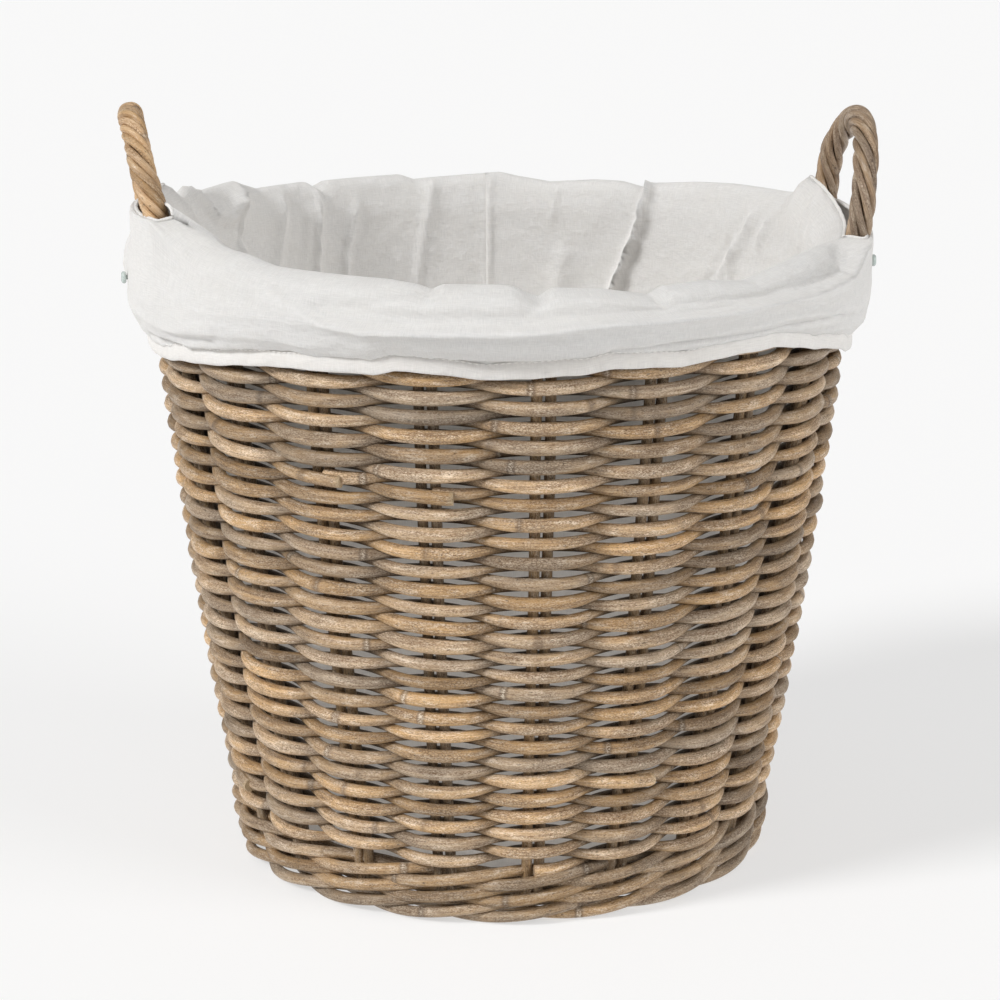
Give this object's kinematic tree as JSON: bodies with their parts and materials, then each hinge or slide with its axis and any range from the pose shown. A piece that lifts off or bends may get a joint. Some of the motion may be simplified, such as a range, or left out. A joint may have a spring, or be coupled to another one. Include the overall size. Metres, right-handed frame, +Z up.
{
  "type": "wicker log basket",
  "caption": "Round tapered wicker log basket woven on paired stakes, with twisted rope handles and a removable cotton liner folded over the rim.",
  "frame": {"origin": "on the floor at the middle of the foot", "axes": "+Z up out of the basket's mouth, -Y the front, handles near +X and -X"},
  "size_m": [0.5422, 0.5346, 0.5402],
  "materials": {
    "weaving_cane": "washed grey-brown rattan, satin, mottled",
    "stake_cane": "darker brown rattan, satin",
    "base_cane": "brown rattan, satin",
    "core_cane": "bent rattan rod, satin",
    "handle_cane": "honey to grey-brown rattan, twisted, satin",
    "cotton": "unbleached plain-weave cotton, matt",
    "elastic": "white covered elastic, matt",
    "button_plastic": "pale translucent grey, glossy"
  },
  "bodies": {
    "basket": {"stake_01": "stake_cane", "stake_02": "stake_cane", "stake_03": "stake_cane", "stake_04": "stake_cane", "stake_05": "stake_cane", "stake_06": "stake_cane", "stake_07": "stake_cane", "stake_08": "stake_cane", "stake_09": "stake_cane", "stake_10": "stake_cane", "stake_11": "stake_cane", "stake_12": "stake_cane", "stake_13": "stake_cane", "stake_14": "stake_cane", "stake_15": "stake_cane", "stake_16": "stake_cane", "stake_17": "stake_cane", "stake_18": "stake_cane", "stake_19": "stake_cane", "foot_border": "weaving_cane", "foot_wale": "weaving_cane", "randing_course_1": "weaving_cane", "randing_course_2": "weaving_cane", "randing_course_3": "weaving_cane", "randing_course_4": "weaving_cane", "randing_course_5": "weaving_cane", "randing_course_6": "weaving_cane", "top_wale": "weaving_cane", "rim_border": "weaving_cane", "base_sticks_lower": "base_cane", "base_sticks_upper": "base_cane", "base_binding": "weaving_cane", "base_weave": "weaving_cane", "left_handle_core": "core_cane", "left_handle_rope": "handle_cane", "right_handle_core": "core_cane", "right_handle_rope": "handle_cane"},
    "liner": {"liner_bottom": "cotton", "liner_side": "cotton", "liner_crest": "cotton", "liner_cuff": "cotton", "hem_casing": "cotton", "hem_elastic": "elastic", "left_button": "button_plastic", "right_button": "button_plastic"}
  },
  "joints": [
    {"name": "liner_lift", "type": "slide", "parent": "basket", "child": "liner", "axis": [0, 0, 1], "range_m": [0, 0.6]}
  ]
}
